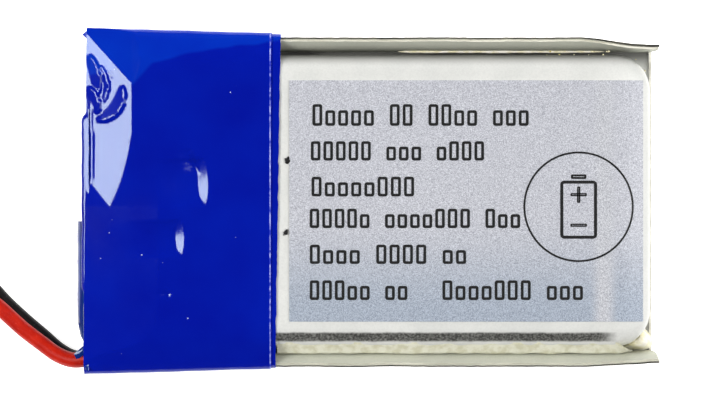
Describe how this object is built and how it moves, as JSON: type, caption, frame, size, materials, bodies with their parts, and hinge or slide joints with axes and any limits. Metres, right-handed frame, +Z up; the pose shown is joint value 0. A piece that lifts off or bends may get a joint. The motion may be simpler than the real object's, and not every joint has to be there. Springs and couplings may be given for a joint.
{
  "type": "pouch battery cell",
  "caption": "Small flat rectangular lithium-polymer pouch cell with folded side seals, a tape-wrapped protection board and two leads ending in a plug.",
  "frame": {"origin": "centre of the cell's bounding box in X and Y, at the underside it lies on, without the leads outside the tape and the plug", "axes": "+X along the cell from the taped terminal end to the folded end, +Y across the cell, +Z up through its thickness to the labelled face"},
  "size_m": [0.0471, 0.0189, 0.0032],
  "materials": {
    "laminate": "satin",
    "label": "satin",
    "tape": "gloss",
    "cathode": "matte",
    "anode": "matte",
    "separator": "satin",
    "film_amber": "gloss",
    "aluminium": "satin",
    "nickel": "satin",
    "tab_film": "satin",
    "board": "satin",
    "chip": "matte",
    "ceramic": "satin",
    "solder": "satin",
    "copper": "satin",
    "glue": "gloss",
    "lead_red": "satin",
    "lead_black": "satin",
    "tie": "satin",
    "housing": "satin"
  },
  "bodies": {
    "root": {"pouch_cup": "laminate", "pouch_cover": "laminate", "seal_glue_upper": "glue", "seal_glue_lower": "glue", "separator_inner": "separator", "cathode_sheet": "cathode", "separator_outer": "separator", "anode_sheet": "anode", "winding_tape": "film_amber", "cathode_tab": "aluminium", "anode_tab": "nickel", "cathode_tab_film": "tab_film", "anode_tab_film": "tab_film", "board_insulator": "film_amber", "pcm_board": "board", "mosfet_pair": "chip", "protection_chip": "chip", "filter_capacitor": "ceramic", "supply_resistor": "chip", "sense_resistor": "chip", "weld_plate_positive": "nickel", "weld_plate_negative": "nickel", "solder_positive": "solder", "solder_negative": "solder", "positive_strands": "copper", "negative_strands": "copper", "inner_tape_wrap": "tape", "outer_tape_wrap": "tape", "tape_end_flap": "tape", "label": "label", "red_lead": "lead_red", "black_lead": "lead_black", "lead_coil": "lead_red", "lead_tie": "tie", "red_lead_tail": "lead_red", "black_lead_tail": "lead_black", "connector_housing": "housing", "contact_positive": "nickel", "contact_negative": "nickel"}
  },
  "joints": []
}
